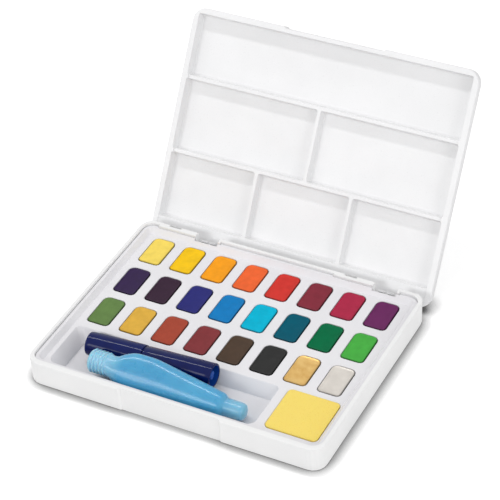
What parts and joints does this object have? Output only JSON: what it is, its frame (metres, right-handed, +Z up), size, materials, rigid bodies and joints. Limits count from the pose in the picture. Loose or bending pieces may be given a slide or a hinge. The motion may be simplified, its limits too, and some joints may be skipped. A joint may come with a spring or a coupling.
{
  "type": "watercolour paint box",
  "caption": "Hinged plastic paint box: lid with mixing wells, lift-out tray of watercolour pans, trough with water brush and reservoir, sponge pocket.",
  "frame": {"origin": "centre of the base's underside, on the table", "axes": "+X to the right seen from the front, +Y to the hinge, +Z up; the lid is open as pictured"},
  "size_m": [0.195, 0.2369, 0.1283],
  "materials": {
    "base_white": "satin moulded plastic",
    "lid_white": "satin moulded plastic",
    "insert_white": "satin moulded plastic",
    "pan_white": "satin moulded plastic",
    "paint_pale_yellow": "pressed dry watercolour, matt",
    "paint_yellow": "pressed dry watercolour, matt",
    "paint_orange_yellow": "pressed dry watercolour, matt",
    "paint_orange": "pressed dry watercolour, matt",
    "paint_red": "pressed dry watercolour, matt",
    "paint_crimson": "pressed dry watercolour, matt",
    "paint_magenta": "pressed dry watercolour, matt",
    "paint_purple": "pressed dry watercolour, matt",
    "paint_dark_violet": "pressed dry watercolour, matt",
    "paint_aubergine": "pressed dry watercolour, matt",
    "paint_ultramarine": "pressed dry watercolour, matt",
    "paint_sky_blue": "pressed dry watercolour, matt",
    "paint_turquoise": "pressed dry watercolour, matt",
    "paint_dark_teal": "pressed dry watercolour, matt",
    "paint_green": "pressed dry watercolour, matt",
    "paint_bright_green": "pressed dry watercolour, matt",
    "paint_leaf_green": "pressed dry watercolour, matt",
    "paint_ochre": "pressed dry watercolour, matt",
    "paint_brick": "pressed dry watercolour, matt",
    "paint_maroon": "pressed dry watercolour, matt",
    "paint_umber": "pressed dry watercolour, matt",
    "paint_black": "pressed dry watercolour, matt",
    "paint_gold": "pressed dry watercolour, metallic sheen",
    "paint_pearl": "pressed dry watercolour, metallic sheen",
    "sponge_yellow": "fine open-cell sponge",
    "cap_navy": "glossy moulded plastic",
    "grip_navy": "glossy moulded plastic",
    "tuft_white": "fine nylon filaments",
    "reservoir_blue": "translucent squeeze plastic"
  },
  "bodies": {
    "base": {"base_shell": "base_white"},
    "lid": {"lid_shell": "lid_white"},
    "insert": {"insert_tray": "insert_white", "pan_a1": "pan_white", "paint_a1_pale_yellow": "paint_pale_yellow", "pan_a2": "pan_white", "paint_a2_yellow": "paint_yellow", "pan_a3": "pan_white", "paint_a3_orange_yellow": "paint_orange_yellow", "pan_a4": "pan_white", "paint_a4_orange": "paint_orange", "pan_a5": "pan_white", "paint_a5_red": "paint_red", "pan_a6": "pan_white", "paint_a6_crimson": "paint_crimson", "pan_a7": "pan_white", "paint_a7_magenta": "paint_magenta", "pan_a8": "pan_white", "paint_a8_purple": "paint_purple", "pan_b1": "pan_white", "paint_b1_dark_violet": "paint_dark_violet", "pan_b2": "pan_white", "paint_b2_aubergine": "paint_aubergine", "pan_b3": "pan_white", "paint_b3_ultramarine": "paint_ultramarine", "pan_b4": "pan_white", "paint_b4_sky_blue": "paint_sky_blue", "pan_b5": "pan_white", "paint_b5_turquoise": "paint_turquoise", "pan_b6": "pan_white", "paint_b6_dark_teal": "paint_dark_teal", "pan_b7": "pan_white", "paint_b7_green": "paint_green", "pan_b8": "pan_white", "paint_b8_bright_green": "paint_bright_green", "pan_c1": "pan_white", "paint_c1_leaf_green": "paint_leaf_green", "pan_c2": "pan_white", "paint_c2_ochre": "paint_ochre", "pan_c3": "pan_white", "paint_c3_brick": "paint_brick", "pan_c4": "pan_white", "paint_c4_maroon": "paint_maroon", "pan_c5": "pan_white", "paint_c5_umber": "paint_umber", "pan_c6": "pan_white", "paint_c6_black": "paint_black", "pan_c7": "pan_white", "paint_c7_gold": "paint_gold", "pan_c8": "pan_white", "paint_c8_pearl": "paint_pearl"},
    "sponge": {"sponge": "sponge_yellow"},
    "brush": {"brush_grip": "grip_navy", "brush_tuft": "tuft_white"},
    "cap": {"brush_cap": "cap_navy"},
    "reservoir": {"water_reservoir": "reservoir_blue"}
  },
  "joints": [
    {"name": "lid_hinge", "type": "hinge", "parent": "base", "child": "lid", "pos_m": [0, 0.0713, 0.0102], "axis": [-1, 0, 0], "range_deg": [-123, 0]},
    {"name": "insert_lift", "type": "slide", "parent": "base", "child": "insert", "axis": [0, 0, 1], "range_m": [0, 0.04]},
    {"name": "sponge_lift", "type": "slide", "parent": "insert", "child": "sponge", "axis": [0, 0, 1], "range_m": [0, 0.03]},
    {"name": "reservoir_lift", "type": "slide", "parent": "insert", "child": "reservoir", "axis": [0, 0, 1], "range_m": [0, 0.06]},
    {"name": "brush_lift", "type": "slide", "parent": "insert", "child": "brush", "axis": [0, 0.42, 0.9075], "range_m": [0, 0.05]},
    {"name": "cap_pull", "type": "slide", "parent": "brush", "child": "cap", "axis": [-0.9993, -0.0296, -0.0245], "range_m": [0, 0.005]}
  ]
}
